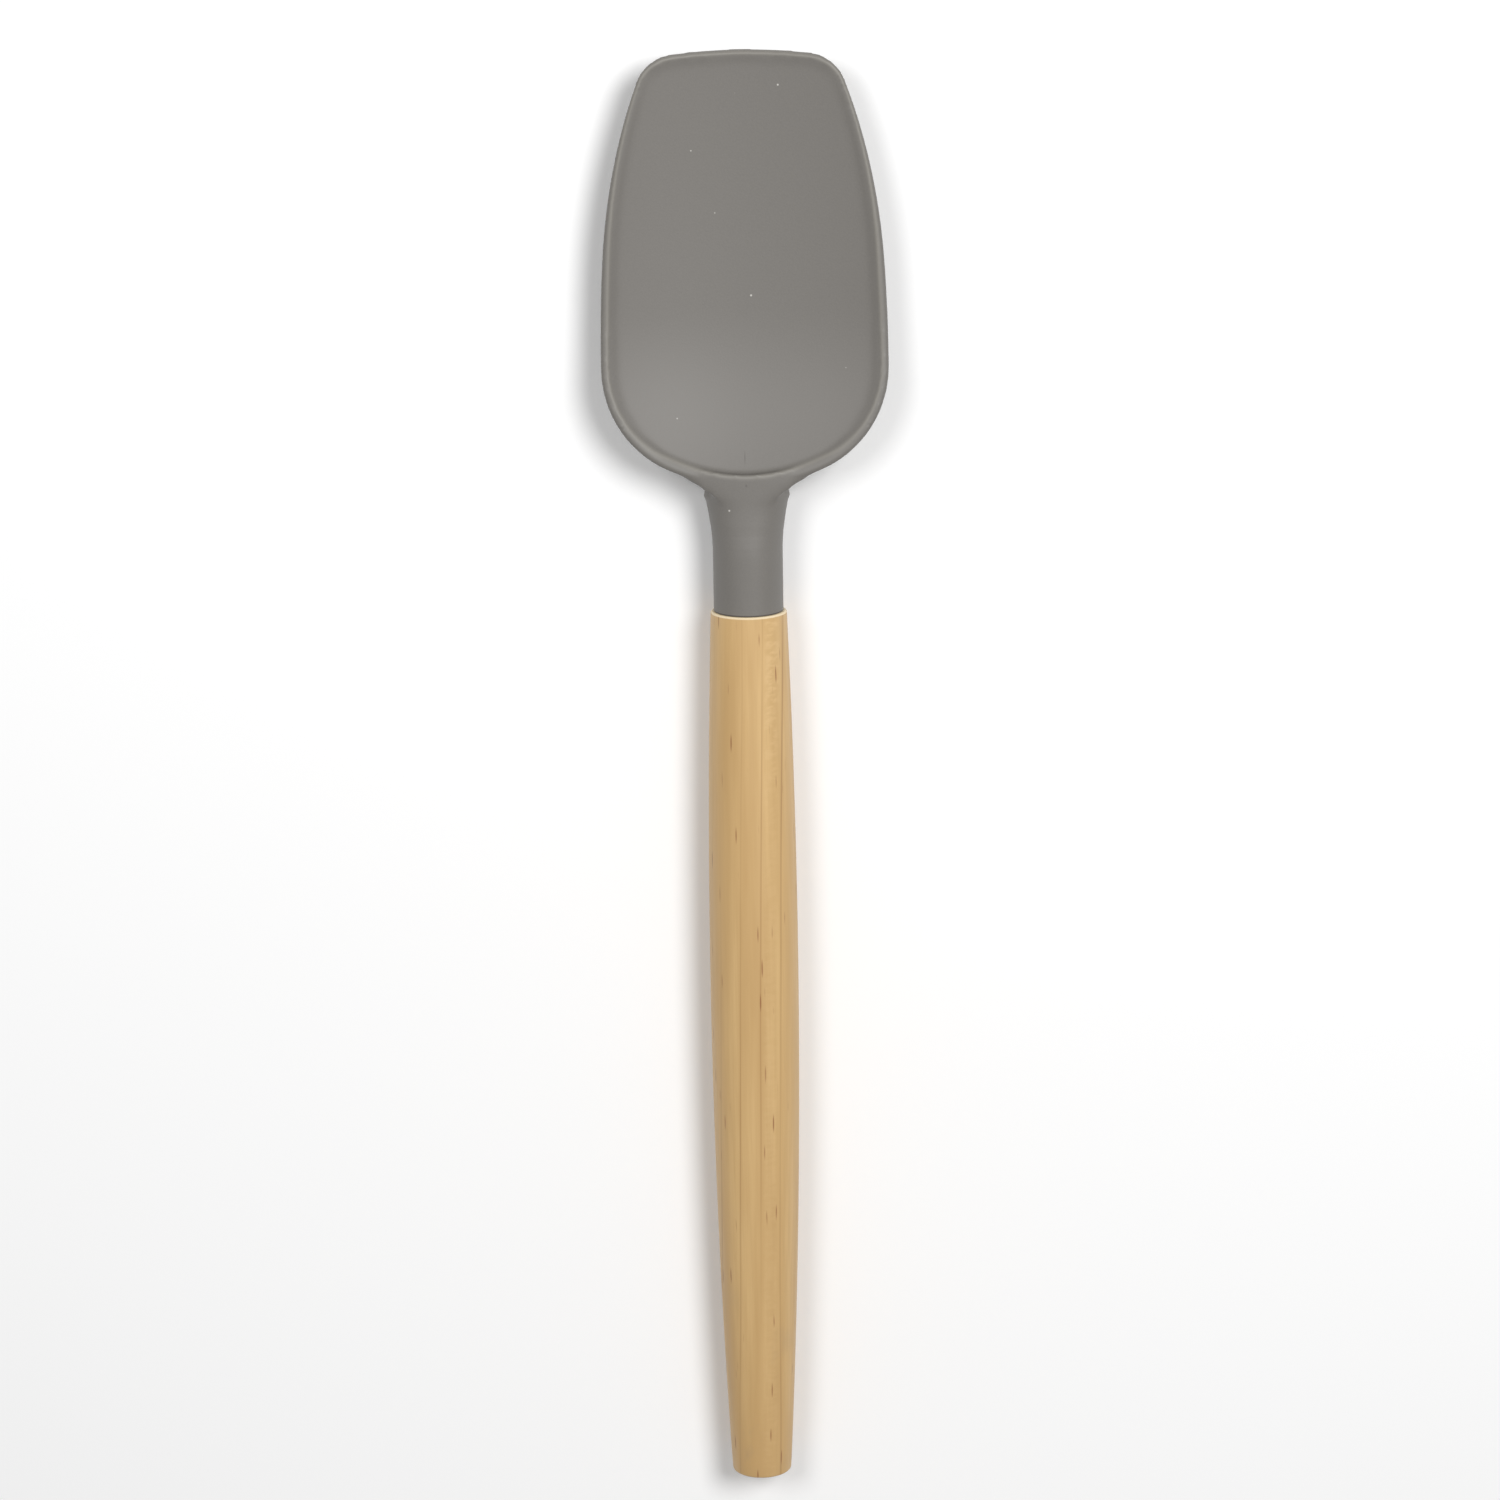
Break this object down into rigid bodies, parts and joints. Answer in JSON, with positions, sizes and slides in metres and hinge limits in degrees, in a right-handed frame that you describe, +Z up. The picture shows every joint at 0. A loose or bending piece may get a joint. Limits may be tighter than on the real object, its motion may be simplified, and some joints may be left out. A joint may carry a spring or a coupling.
{
  "type": "silicone spatula",
  "caption": "Spoon-shaped kitchen spatula: a dished silicone head moulded round a stiff insert that is glued into a turned, barrel-shaped wooden handle.",
  "frame": {"origin": "bottom centre of the whole spatula, under the middle of its length, with the bowl up and the handle's axis level", "axes": "+Y from the handle's butt towards the head's tip, +Z up out of the open bowl, +X to the right across the head"},
  "size_m": [0.0602, 0.3142, 0.0191],
  "materials": {
    "silicone": "matte",
    "nylon": "matte",
    "wood": "satin",
    "glue": "satin"
  },
  "bodies": {
    "root": {"silicone_head": "silicone", "nylon_core": "nylon", "wood_handle": "wood", "glue_bond": "glue"}
  },
  "joints": []
}
